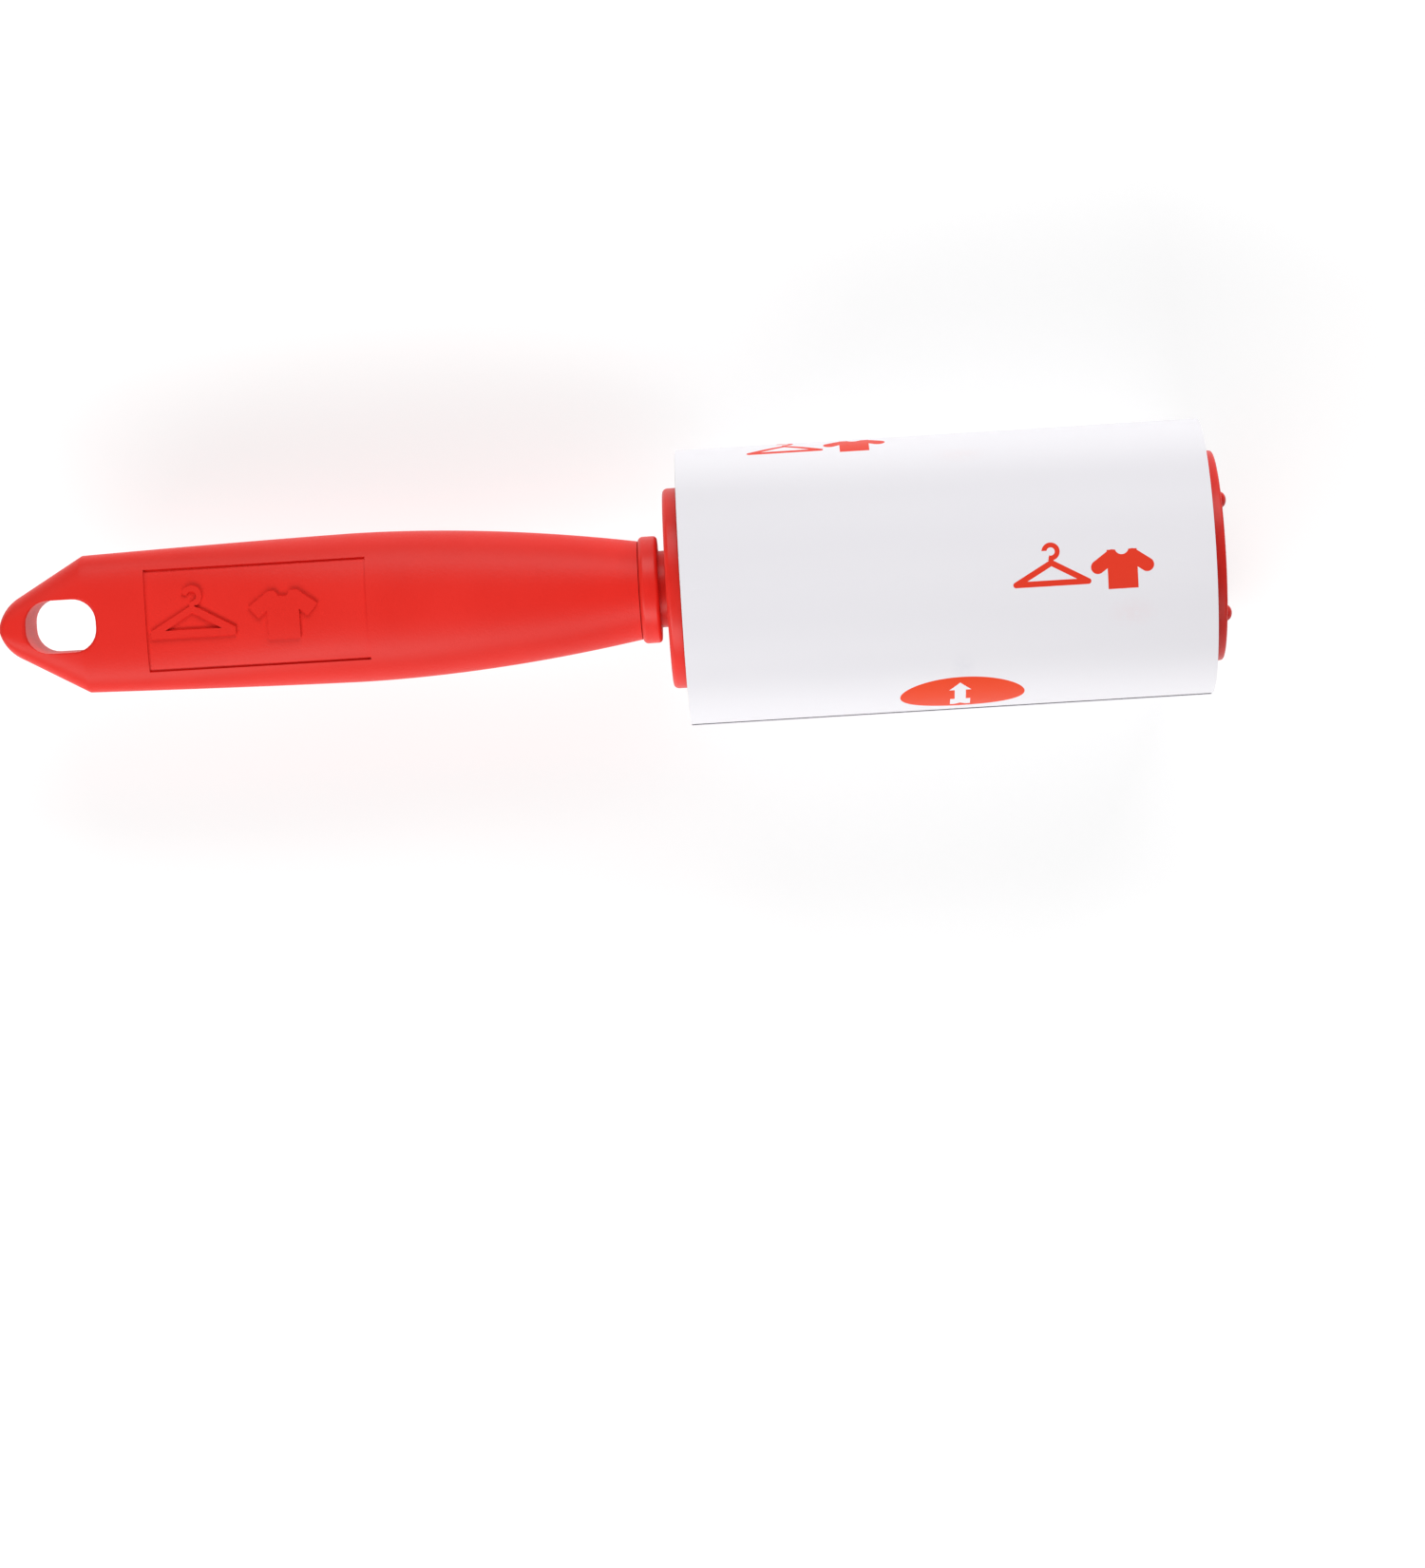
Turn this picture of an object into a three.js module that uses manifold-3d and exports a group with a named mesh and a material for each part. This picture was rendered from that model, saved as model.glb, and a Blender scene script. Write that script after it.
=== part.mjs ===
// Lint roller: a moulded grip, a stem with its thrust disc and axle, a spool that spins on the
// axle, a refill of wound adhesive sheets that slides on the spool, and a click-in end cap.
// Millimetres. +X runs along the axle towards the end cap, +Z is up, and the roller lies on the
// flat under its refill. The origin is below the middle of its length.

import * as THREE from 'three';
import { LoftGeometry } from 'three/addons/geometries/LoftGeometry.js';
import { mergeVertices } from 'three/addons/utils/BufferGeometryUtils.js';
import Module from 'manifold-3d';

const wasm = await Module();
wasm.setup();

// Lengths along the axle are measured from the refill's handle-side end.

const GAP = 0.3;

const REFILL_LENGTH = 100;
const REFILL_RADIUS = 26.5;
const REFILL_EDGE = 1;
const SHEET_THICKNESS = 0.25;
const SHEET_MARGIN = 1.1;
const PLY_GAP = 0.05;
const CORE_OUTER = 20.1;
const CORE_BORE = 18.8;
const REFILL_SIDES = 36;

const DISC_RADIUS = 19.2;
const DISC_THICKNESS = 2.6;
const DISC_ROUND = 1;
const NECK_RADIUS = 7.35;
const TANG_RADIUS = 5.2;
const TANG_END = -42;
const TANG_COLLAR = { at: -34, radius: 7, length: 3 };

const FERRULE_RADIUS = 10.25;
const FERRULE_LENGTH = 3.5;
const FERRULE_ROUND = 1.1;

const AXLE_RADIUS = 3;
const AXLE_START = -36;
const AXLE_END = 80;
const AXLE_CHAMFER = 0.5;
const AXLE_SOCKET_RADIUS = AXLE_RADIUS + 0.1;
const BORE_RADIUS = AXLE_RADIUS + GAP;
const TAPPED_HOLE = { depth: 11, radius: 1.5 };
const THRUST_WASHER = { start: 0.3, end: 1.3, radius: 7.2 };
const AXLE_WASHER = { start: AXLE_END + 0.1, end: AXLE_END + 0.9, bore: 1.6, radius: 7 };
const AXLE_SCREW = { reach: 9, radius: 1.3, headRadius: 4.2, headHeight: 1.9, headRound: 1.4 };
const AXLE_SCREW_SEAT = AXLE_WASHER.end + GAP;

const SPOOL_RADIUS = 17.3;
const SPOOL_WALL = 1.6;
const SPOOL_END = 98;
const SPOOL_WEBS = [3, 76];
const WEB_THICKNESS = 2;
const HUB_RADIUS = 8;
const HUB_LENGTH = 8;
const SPOOL_SIDES = 36;
const RIB_COUNT = 6;
const RIB = { start: 4, end: 96, footDepth: 0.8, startRise: 0.2, height: 1.2, endRise: 0.1, width: 2.4 };
const RIB_BOW = { at: 40, rise: RIB.height + 0.3 };
const RIB_SHOULDER = { at: 88, rise: RIB.height - 0.4 };
const WINDOW = { start: 14, length: 52, width: 9, depth: 6 };

const BUSH_RADIUS = 5.2;
const BUSH_FLANGE = { radius: 7.4, thickness: 1 };
const BUSH_SHORTER = 0.5;

const CAP_RADIUS = 20.1;
const CAP_EDGE = 1.5;
const CAP_DOME = 0.8;
const CAP_RIM_ROUND = 0.4;
const CAP_LEGS = { start: 88, radius: 15.2, wall: 1.4, slot: 7, slots: 2 };
const PIP = { count: 4, radius: 1.4, circle: 15.1, halfHeight: 1.12, centre: 0.14 };

const GRIP_TIP = -130.9;
const GRIP_FRONT = -8.3;
const GRIP_WIDEST = -62;
const GRIP_HALF_WIDTH = 14.3;
const GRIP_SHOULDER = { at: -115, halfWidth: 13.15 };
const GRIP_NARROWING = 4.85;
const GRIP_HALF_THICKNESS = 11;
const GRIP_FRONT_HALF_THICKNESS = 9.45;
const GRIP_WALL = 2.2;
const TAB_HALF_THICKNESS = 7.5;
const TAB_END = -108;
const TAB_FLAT = 0.98;
const PALM_START = -60;
const PALM_END = -45;
const NOSE_RADIUS = 6.7;
const NOSE_ROUND = 1.6;
const CHAMFER_ANGLE = Math.PI / 6;
const GRIP_SIDES = 32;
const CAVITY_SIDES = 16;
const SEAM = 0.15;

const HOLE = { at: -118.95, length: 13.4, width: 10.1, corner: 4.4 };
const PANEL = { start: -102.6, length: 42.6, width: 19.6, depth: 0.35 };

const SCREWS = { rear: -88, front: -54 };
const SCREW = { radius: 1.4, headRadius: 2.7, headHeight: 1.8, length: 8 };
const SCREW_SEAT = -2.8;
const SCREW_BOSS_RADIUS = 4.2;
const PILOT_TOP = SCREW_SEAT + SCREW.length - 0.9;
const HEAD_SIDES = 12;

const TURNED_SIDES = 24;
const CROWN_SIDES = 40;
const RED = 0xd62f26;

const finishes = {
  redPlastic: { color: RED, roughness: 0.45, metalness: 0 },
  redSpool: { color: 0xb8261f, roughness: 0.5, metalness: 0 },
  acetal: { color: 0xe9e7df, roughness: 0.5, metalness: 0 },
  steel: { color: 0xb9bcc0, roughness: 0.3, metalness: 1 },
  cardboard: { color: 0xb08a60, roughness: 0.9, metalness: 0 },
  paper: { color: 0xf2efe8, roughness: 0.8, metalness: 0 },
  glossSheet: { color: 0xf6f5f7, roughness: 0.2, metalness: 0 },
};

// Solids: geometry in, boolean, geometry out.

function solid(geometry) {
  const bare = new THREE.BufferGeometry().copy(geometry);
  bare.deleteAttribute('normal');
  bare.deleteAttribute('uv');
  const merged = mergeVertices(bare, 1e-4);
  return new wasm.Manifold(new wasm.Mesh({
    numProp: 3,
    vertProperties: new Float32Array(merged.attributes.position.array),
    triVerts: new Uint32Array(merged.index.array),
  }));
}

function geometryOf(body) {
  const mesh = body.getMesh();
  const geometry = new THREE.BufferGeometry();
  geometry.setAttribute('position', new THREE.BufferAttribute(mesh.vertProperties, 3));
  geometry.setIndex(new THREE.BufferAttribute(mesh.triVerts, 1));
  geometry.computeVertexNormals();
  return geometry;
}

function joined(bodies) {
  return bodies.reduce((whole, body) => whole.add(body));
}

// A body turned about the axle from a profile of [along, radius] pairs. Half a side of phase
// puts a flat side underneath.

function turned(profile, sides = TURNED_SIDES) {
  const points = profile.map(([along, radius]) => new THREE.Vector2(radius, along));
  return new THREE.LatheGeometry(points, sides, Math.PI / sides).rotateZ(-Math.PI / 2);
}

function tube(start, end, inner, outer, sides) {
  return turned([[start, inner], [start, outer], [end, outer], [end, inner], [start, inner]], sides);
}

function rod(start, end, radius, sides) {
  return turned([[start, 0], [start, radius], [end, radius], [end, 0]], sides);
}

function block(start, length, width, height, z = 0) {
  const box = new THREE.BoxGeometry(length, width, height);
  return box.translate(start + length / 2, 0, z);
}

function upright(at, bottom, top, radius, sides = HEAD_SIDES) {
  const post = new THREE.CylinderGeometry(radius, radius, top - bottom, sides);
  return post.rotateX(Math.PI / 2).translate(at, 0, (top + bottom) / 2);
}

// The grip: half width, half thickness and squareness of its section along the axle.

function noseHalfWidth(x) {
  const fromCentre = x - (GRIP_TIP + NOSE_RADIUS);
  return Math.sqrt(Math.max(NOSE_RADIUS ** 2 - fromCentre ** 2, 0));
}

function chamferHalfWidth(x) {
  const centre = GRIP_TIP + NOSE_RADIUS;
  return NOSE_RADIUS / Math.cos(CHAMFER_ANGLE) + (x - centre) * Math.tan(CHAMFER_ANGLE);
}

function palmHalfWidth(x) {
  if (x < GRIP_WIDEST) {
    const back = (GRIP_WIDEST - x) / (GRIP_WIDEST - GRIP_SHOULDER.at);
    return GRIP_HALF_WIDTH - (GRIP_HALF_WIDTH - GRIP_SHOULDER.halfWidth) * back ** 1.3;
  }
  const ahead = (x - GRIP_WIDEST) / (GRIP_FRONT - GRIP_WIDEST);
  return GRIP_HALF_WIDTH - GRIP_NARROWING * ahead ** 1.9;
}

function halfWidth(x) {
  const noseEnd = GRIP_TIP + NOSE_RADIUS * (1 - Math.sin(CHAMFER_ANGLE));
  if (x < noseEnd) return noseHalfWidth(x);
  return Math.min(chamferHalfWidth(x), palmHalfWidth(x));
}

function halfThickness(x) {
  const rise = THREE.MathUtils.smoothstep(x, TAB_END, PALM_START);
  const fall = THREE.MathUtils.smoothstep(x, PALM_END, GRIP_FRONT);
  const body = THREE.MathUtils.lerp(TAB_HALF_THICKNESS, GRIP_HALF_THICKNESS, rise)
    - (GRIP_HALF_THICKNESS - GRIP_FRONT_HALF_THICKNESS) * fall;
  const nose = THREE.MathUtils.clamp((x - GRIP_TIP) / NOSE_ROUND, 0, 1);
  return body - NOSE_ROUND * (1 - Math.sqrt(1 - (1 - nose) ** 2));
}

function squareness(x) {
  const palm = THREE.MathUtils.smoothstep(x, TAB_END, PALM_START);
  const front = THREE.MathUtils.smoothstep(x, PALM_START, GRIP_FRONT);
  return 3 - 0.8 * palm - 0.2 * front;
}

function gripSection(x, inset, sides) {
  const width = Math.max(halfWidth(x) - inset, 0.8);
  const thickness = halfThickness(x) - inset;
  const power = 2 / squareness(x);
  const flat = x < TAB_END ? thickness * TAB_FLAT : thickness;
  const points = [];
  for (let side = 0; side < sides; side++) {
    const angle = (side + 0.5) / sides * Math.PI * 2;
    const y = Math.sign(Math.cos(angle)) * width * Math.abs(Math.cos(angle)) ** power;
    const z = Math.sign(Math.sin(angle)) * thickness * Math.abs(Math.sin(angle)) ** power;
    points.push(new THREE.Vector3(x, y, THREE.MathUtils.clamp(z, -flat, flat)));
  }
  return points;
}

function gripLoft(stations, inset = 0, sides = GRIP_SIDES) {
  const sections = stations.map((x) => gripSection(x, inset, sides));
  return new LoftGeometry(sections, { capStart: true, capEnd: true });
}

function evenly(start, end, steps) {
  return Array.from({ length: steps + 1 }, (_, step) => start + (end - start) * step / steps);
}

function outerStations() {
  const nose = [0.12, 0.3, 0.6, 1, 1.6, 2.4, 3.35].map((depth) => GRIP_TIP + depth);
  const tab = evenly(-125.5, GRIP_SHOULDER.at - 0.2, 4);
  const palm = evenly(GRIP_SHOULDER.at + 0.6, GRIP_FRONT, 22);
  return [...nose, ...tab, ...palm];
}

function roundedSlot(length, width, corner, height) {
  const outline = new THREE.Shape();
  const x = length / 2 - corner;
  const y = width / 2 - corner;
  outline.absarc(x, y, corner, 0, Math.PI / 2);
  outline.absarc(-x, y, corner, Math.PI / 2, Math.PI);
  outline.absarc(-x, -y, corner, Math.PI, Math.PI * 1.5);
  outline.absarc(x, -y, corner, Math.PI * 1.5, Math.PI * 2);
  const slot = new THREE.ExtrudeGeometry(outline, { depth: height, bevelEnabled: false, curveSegments: 4 });
  return slot.translate(0, 0, -height / 2);
}

function hangHole() {
  return solid(roundedSlot(HOLE.length, HOLE.width, HOLE.corner, 30).translate(HOLE.at, 0, 0));
}

function gripBody() {
  const outside = solid(gripLoft(outerStations()));
  const inside = solid(gripLoft(evenly(-106, GRIP_FRONT - 3, 11), GRIP_WALL, CAVITY_SIDES));
  const socket = solid(rod(GRIP_FRONT - 6, GRIP_FRONT + 1, TANG_RADIUS + GAP));
  return outside.subtract(inside).subtract(socket).subtract(hangHole());
}

function halfSpace(side) {
  return solid(block(GRIP_TIP - 5, -GRIP_TIP, 40, 30, side * (15 + SEAM)));
}

function screwBoss(at) {
  const post = solid(upright(at, -12, 12, SCREW_BOSS_RADIUS));
  return post.intersect(solid(gripLoft(evenly(-104, GRIP_FRONT, 12), 1, CAVITY_SIDES)));
}

function panelRecess() {
  const { start, length, width, depth } = PANEL;
  const prism = solid(block(start, length, width, 20, 10));
  return prism.subtract(solid(gripLoft(outerStations(), depth)));
}

function upperShell() {
  const bosses = Object.values(SCREWS).map(screwBoss);
  const pilots = Object.values(SCREWS).map((at) => solid(upright(at, -15, PILOT_TOP, SCREW.radius + 0.1)));
  const whole = joined([gripBody(), ...bosses]).subtract(joined(pilots));
  return geometryOf(whole.intersect(halfSpace(1)).subtract(panelRecess()));
}

function lowerShell() {
  const bosses = Object.values(SCREWS).map(screwBoss);
  const holes = Object.values(SCREWS).flatMap((at) => [
    solid(upright(at, -15, 15, SCREW.radius + GAP)),
    solid(upright(at, -15, SCREW_SEAT, SCREW.headRadius + GAP)),
  ]);
  const whole = joined([gripBody(), ...bosses]).subtract(joined(holes));
  return geometryOf(whole.intersect(halfSpace(-1)));
}

function gripScrew(at) {
  const headTop = SCREW_SEAT - GAP;
  const head = upright(at, headTop - SCREW.headHeight, headTop, SCREW.headRadius);
  const shank = upright(at, headTop - 1, headTop + SCREW.length - 1, SCREW.radius - 0.1);
  return geometryOf(solid(head).add(solid(shank)));
}

// The stem: tang in the grip, neck through the ferrule, thrust disc against the refill, and the
// socket that holds the steel axle.

function stem() {
  const faceAt = -GAP;
  const discBack = faceAt - DISC_THICKNESS;
  const ferruleBack = GRIP_FRONT + GAP;
  const socketEnd = AXLE_START - GAP;
  const { at, radius, length } = TANG_COLLAR;
  return turned([
    [TANG_END, 0], [TANG_END, TANG_RADIUS], [at, TANG_RADIUS], [at, radius],
    [at + length, radius], [at + length, TANG_RADIUS], [ferruleBack, TANG_RADIUS],
    [ferruleBack, NECK_RADIUS], [discBack, NECK_RADIUS], [discBack, DISC_RADIUS - DISC_ROUND],
    [discBack + DISC_ROUND * 0.3, DISC_RADIUS - DISC_ROUND * 0.3], [discBack + DISC_ROUND, DISC_RADIUS],
    [faceAt - DISC_ROUND, DISC_RADIUS], [faceAt - DISC_ROUND * 0.3, DISC_RADIUS - DISC_ROUND * 0.3],
    [faceAt, DISC_RADIUS - DISC_ROUND], [faceAt, AXLE_SOCKET_RADIUS],
    [socketEnd, AXLE_SOCKET_RADIUS], [socketEnd, 0],
  ], CROWN_SIDES);
}

function ferrule() {
  const start = GRIP_FRONT + GAP;
  const end = start + FERRULE_LENGTH;
  const bore = NECK_RADIUS + GAP;
  const crown = FERRULE_RADIUS;
  const round = FERRULE_ROUND;
  return turned([
    [start, bore], [start, crown - round], [start + round * 0.3, crown - round * 0.3],
    [start + round, crown], [end - round, crown], [end - round * 0.3, crown - round * 0.3],
    [end, crown - round], [end, bore], [start, bore],
  ], CROWN_SIDES);
}

// A washer and a screw hold the spool on the axle, under the end cap.

function axleRod() {
  const body = solid(turned([
    [AXLE_START, 0], [AXLE_START, AXLE_RADIUS], [AXLE_END - AXLE_CHAMFER, AXLE_RADIUS],
    [AXLE_END, AXLE_RADIUS - AXLE_CHAMFER], [AXLE_END, 0],
  ]));
  const { depth, radius } = TAPPED_HOLE;
  return geometryOf(body.subtract(solid(rod(AXLE_END - depth, AXLE_END + 1, radius, HEAD_SIDES))));
}

function thrustWasher() {
  return tube(THRUST_WASHER.start, THRUST_WASHER.end, AXLE_SOCKET_RADIUS, THRUST_WASHER.radius);
}

function axleWasher() {
  return tube(AXLE_WASHER.start, AXLE_WASHER.end, AXLE_WASHER.bore, AXLE_WASHER.radius);
}

function axleScrew() {
  const { reach, radius, headRadius, headHeight, headRound } = AXLE_SCREW;
  const seat = AXLE_SCREW_SEAT;
  const top = seat + headHeight;
  return turned([
    [AXLE_END - reach, 0], [AXLE_END - reach, radius], [seat, radius], [seat, headRadius],
    [seat + headHeight / 2, headRadius], [top, headRadius - headRound], [top, 0],
  ], HEAD_SIDES);
}

// The spool: a thin drum on two hubbed webs, with spring ribs that grip the core.

function spoolDrum() {
  const wall = tube(GAP, SPOOL_END, SPOOL_RADIUS - SPOOL_WALL, SPOOL_RADIUS, SPOOL_SIDES);
  const [handleWeb, capWeb] = SPOOL_WEBS;
  const bore = BUSH_RADIUS + GAP;
  const webs = SPOOL_WEBS.map((at) => {
    return tube(at, at + WEB_THICKNESS, bore, SPOOL_RADIUS - SPOOL_WALL / 3, SPOOL_SIDES);
  });
  const hubs = [handleWeb, capWeb + WEB_THICKNESS - HUB_LENGTH].map((at) => {
    return tube(at, at + HUB_LENGTH, bore, HUB_RADIUS);
  });
  const ribs = evenly(0, RIB_COUNT - 1, RIB_COUNT - 1).map((rib) => {
    return springRib().rotateX(rib / RIB_COUNT * Math.PI * 2);
  });
  const windows = evenly(0, RIB_COUNT - 1, RIB_COUNT - 1).map((index) => {
    const opening = block(WINDOW.start, WINDOW.length, WINDOW.width, WINDOW.depth, SPOOL_RADIUS);
    return opening.rotateX((index + 0.5) / RIB_COUNT * Math.PI * 2);
  });
  const drum = joined([wall, ...webs, ...hubs, ...ribs].map(solid));
  return geometryOf(drum.subtract(joined(windows.map(solid))));
}

function springRib() {
  const outline = new THREE.Shape();
  const foot = SPOOL_RADIUS - RIB.footDepth;
  outline.moveTo(RIB.start, foot);
  outline.lineTo(RIB.start, SPOOL_RADIUS + RIB.startRise);
  outline.quadraticCurveTo(RIB_BOW.at, SPOOL_RADIUS + RIB_BOW.rise,
    RIB_SHOULDER.at, SPOOL_RADIUS + RIB_SHOULDER.rise);
  outline.lineTo(RIB.end, SPOOL_RADIUS + RIB.endRise);
  outline.lineTo(RIB.end, foot);
  const settings = { depth: RIB.width, bevelEnabled: false, curveSegments: 6 };
  const rib = new THREE.ExtrudeGeometry(outline, settings);
  return rib.translate(0, 0, -RIB.width / 2).rotateX(Math.PI / 2);
}

function bush(flangeStart, flangeEnd, sleeveEnd) {
  const { radius } = BUSH_FLANGE;
  return turned([
    [flangeStart, BORE_RADIUS], [flangeStart, radius], [flangeEnd, radius],
    [flangeEnd, BUSH_RADIUS], [sleeveEnd, BUSH_RADIUS], [sleeveEnd, BORE_RADIUS],
    [flangeStart, BORE_RADIUS],
  ]);
}

function handleSideBush() {
  const flangeEnd = SPOOL_WEBS[0] - GAP;
  return bush(flangeEnd - BUSH_FLANGE.thickness, flangeEnd, SPOOL_WEBS[0] + HUB_LENGTH - BUSH_SHORTER);
}

function capSideBush() {
  const flangeEnd = SPOOL_WEBS[1] + WEB_THICKNESS + GAP;
  const sleeveEnd = SPOOL_WEBS[1] + WEB_THICKNESS - HUB_LENGTH + BUSH_SHORTER;
  const { radius, thickness } = BUSH_FLANGE;
  return turned([
    [sleeveEnd, BORE_RADIUS], [sleeveEnd, BUSH_RADIUS], [flangeEnd, BUSH_RADIUS],
    [flangeEnd, radius], [flangeEnd + thickness, radius], [flangeEnd + thickness, BORE_RADIUS],
    [sleeveEnd, BORE_RADIUS],
  ]);
}

// The refill: cardboard core, wound adhesive sheets and the printed sheet outermost.

function coreTube() {
  return tube(0, REFILL_LENGTH, CORE_BORE, CORE_OUTER, REFILL_SIDES);
}

function adhesiveRoll() {
  const inner = CORE_OUTER + PLY_GAP;
  const outer = REFILL_RADIUS - SHEET_THICKNESS - PLY_GAP;
  const profile = [[0, inner], [0, outer - REFILL_EDGE], [REFILL_EDGE * 0.3, outer - REFILL_EDGE * 0.3],
    [REFILL_EDGE, outer], [REFILL_LENGTH - REFILL_EDGE, outer],
    [REFILL_LENGTH - REFILL_EDGE * 0.3, outer - REFILL_EDGE * 0.3],
    [REFILL_LENGTH, outer - REFILL_EDGE], [REFILL_LENGTH, inner], [0, inner]];
  return turned(profile, REFILL_SIDES);
}

function topSheet() {
  const inner = REFILL_RADIUS - SHEET_THICKNESS;
  return tube(SHEET_MARGIN, REFILL_LENGTH - SHEET_MARGIN, inner, REFILL_RADIUS, REFILL_SIDES);
}

// The end cap: a shallow dome with four finger pips and four snap legs inside the spool.

function endCap() {
  const start = REFILL_LENGTH + GAP;
  const edge = start + CAP_EDGE;
  const dome = solid(turned([
    [start, 0], [start, CAP_RADIUS - CAP_RIM_ROUND], [start + CAP_RIM_ROUND, CAP_RADIUS],
    [edge, CAP_RADIUS], [edge + CAP_RIM_ROUND / 2, CAP_RADIUS - CAP_RIM_ROUND / 2],
    [edge + CAP_DOME * 0.7, CAP_RADIUS * 0.55], [edge + CAP_DOME, 0],
  ], CROWN_SIDES));
  const { radius, wall, slot, slots } = CAP_LEGS;
  const skirt = solid(tube(CAP_LEGS.start, start + CAP_RIM_ROUND, radius - wall, radius));
  const cuts = evenly(0, slots - 1, slots - 1).map((index) => {
    const cut = block(CAP_LEGS.start - 1, start - CAP_LEGS.start + 1, radius * 3, slot);
    return solid(cut.rotateX(index / slots * Math.PI));
  });
  const pips = evenly(0, PIP.count - 1, PIP.count - 1).map((index) => {
    const pip = new THREE.SphereGeometry(PIP.radius, 12, 8);
    pip.scale(PIP.halfHeight / PIP.radius, 1, 1).translate(edge + PIP.centre, 0, PIP.circle);
    return solid(pip.rotateX((index + 0.5) / PIP.count * Math.PI * 2));
  });
  return geometryOf(joined([dome, skirt.subtract(joined(cuts)), ...pips]));
}

// Assembly.

const roller = new THREE.Group();

function part(name, geometry, finish) {
  const mesh = new THREE.Mesh(geometry, new THREE.MeshStandardMaterial(finishes[finish]));
  mesh.name = name;
  roller.add(mesh);
}

part('grip_upper_shell', upperShell(), 'redPlastic');
part('grip_lower_shell', lowerShell(), 'redPlastic');
part('grip_screw_rear', gripScrew(SCREWS.rear), 'steel');
part('grip_screw_front', gripScrew(SCREWS.front), 'steel');
part('ferrule', ferrule(), 'redPlastic');
part('stem', stem(), 'redPlastic');
part('axle_rod', axleRod(), 'steel');
part('thrust_washer', thrustWasher(), 'acetal');
part('axle_washer', axleWasher(), 'steel');
part('axle_screw', axleScrew(), 'steel');
part('spool_drum', spoolDrum(), 'redSpool');
part('handle_side_bush', handleSideBush(), 'acetal');
part('cap_side_bush', capSideBush(), 'acetal');
part('core_tube', coreTube(), 'cardboard');
part('adhesive_roll', adhesiveRoll(), 'paper');
part('top_sheet', topSheet(), 'glossSheet');
part('end_cap', endCap(), 'redPlastic');

const bounds = new THREE.Box3().setFromObject(roller);
roller.position.x = -(bounds.min.x + bounds.max.x) / 2;
roller.position.z = REFILL_RADIUS * Math.cos(Math.PI / REFILL_SIDES);

const lintRoller = new THREE.Group();
lintRoller.add(roller);
lintRoller.updateMatrixWorld(true);

export default lintRoller;
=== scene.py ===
"""Looks of a hand lint roller: a grained red grip, a printed adhesive roll and a red end cap.

Every outline is in millimetres in the axle's own frame: x runs along the axle from the refill's
handle-side end, z is up and the axle is the origin. at() turns a point into the frame's metres.
"""

import math

import bmesh
import bpy
from mathutils import Matrix, Vector


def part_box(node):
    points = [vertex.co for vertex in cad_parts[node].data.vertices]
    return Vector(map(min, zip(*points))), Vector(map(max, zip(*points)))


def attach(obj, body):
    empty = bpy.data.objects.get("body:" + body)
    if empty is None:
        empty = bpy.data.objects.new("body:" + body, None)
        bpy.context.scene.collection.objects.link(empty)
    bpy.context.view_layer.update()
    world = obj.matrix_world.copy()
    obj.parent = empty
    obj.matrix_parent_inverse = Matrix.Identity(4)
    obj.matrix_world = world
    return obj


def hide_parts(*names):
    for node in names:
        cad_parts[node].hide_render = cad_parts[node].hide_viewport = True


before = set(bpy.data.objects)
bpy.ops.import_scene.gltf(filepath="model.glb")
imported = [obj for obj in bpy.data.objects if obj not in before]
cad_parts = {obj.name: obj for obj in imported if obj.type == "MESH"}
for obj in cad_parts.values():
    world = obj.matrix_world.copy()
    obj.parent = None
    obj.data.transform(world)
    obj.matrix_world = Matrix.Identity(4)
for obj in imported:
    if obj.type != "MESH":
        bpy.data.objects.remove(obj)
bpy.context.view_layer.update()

MM = 0.001
GAP = 0.3  # clearance between pieces, in millimetres

roll_low, roll_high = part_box("adhesive_roll")
AXLE = Vector((roll_low.x, 0.0, (roll_low.z + roll_high.z) / 2))


def size_along(node):
    """Start and end of a node along the axle, in millimetres from the refill's handle side."""
    low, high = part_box(node)
    return (low.x - AXLE.x) / MM, (high.x - AXLE.x) / MM


def radius_of(node):
    """Outer radius of a turned node, in millimetres."""
    low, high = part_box(node)
    return max(high.y, -low.y, high.z - AXLE.z, AXLE.z - low.z) / MM


def at(x, y, z):
    return AXLE + Vector((x, y, z)) * MM


# ---------------------------------------------------------------- camera and light

CAMERA_AT = (19.1, 22.6, 897.0)
CAMERA_LOOKS_AT = (3.3, -38.0, 0.0)
CAMERA_TURN = math.radians(3.52)
CAMERA_LENS = 107.3
SENSOR = 36.0
ROOM_COLOUR = (0.97, 0.98, 1.0, 1.0)
ROOM_STRENGTH = 0.16


def add_camera():
    data = bpy.data.cameras.new("camera")
    data.lens = CAMERA_LENS
    data.sensor_width = SENSOR
    camera = bpy.data.objects.new("camera", data)
    bpy.context.collection.objects.link(camera)
    camera.location = at(*CAMERA_AT)
    camera.rotation_mode = "QUATERNION"
    camera.rotation_quaternion = facing(at(*CAMERA_LOOKS_AT) - camera.location, CAMERA_TURN)
    bpy.context.scene.camera = camera


def facing(towards, turn):
    """Rotation of a camera that looks towards a point, +Y up in its picture, then turned."""
    forward = towards.normalized()
    level = forward.cross(Vector((0.0, 1.0, 0.0))).normalized()
    upright = level.cross(forward)
    right = level * math.cos(turn) - upright * math.sin(turn)
    up = right.cross(forward)
    return Matrix((right, up, -forward)).transposed().to_quaternion()


def add_softbox(name, place, target, size, power):
    data = bpy.data.lights.new(name, "AREA")
    data.shape = "RECTANGLE"
    data.size, data.size_y = size
    data.energy = power
    lamp = bpy.data.objects.new(name, data)
    bpy.context.collection.objects.link(lamp)
    lamp.location = place
    lamp.rotation_mode = "QUATERNION"
    lamp.rotation_quaternion = (Vector(target) - Vector(place)).to_track_quat("-Z", "Y")


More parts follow.
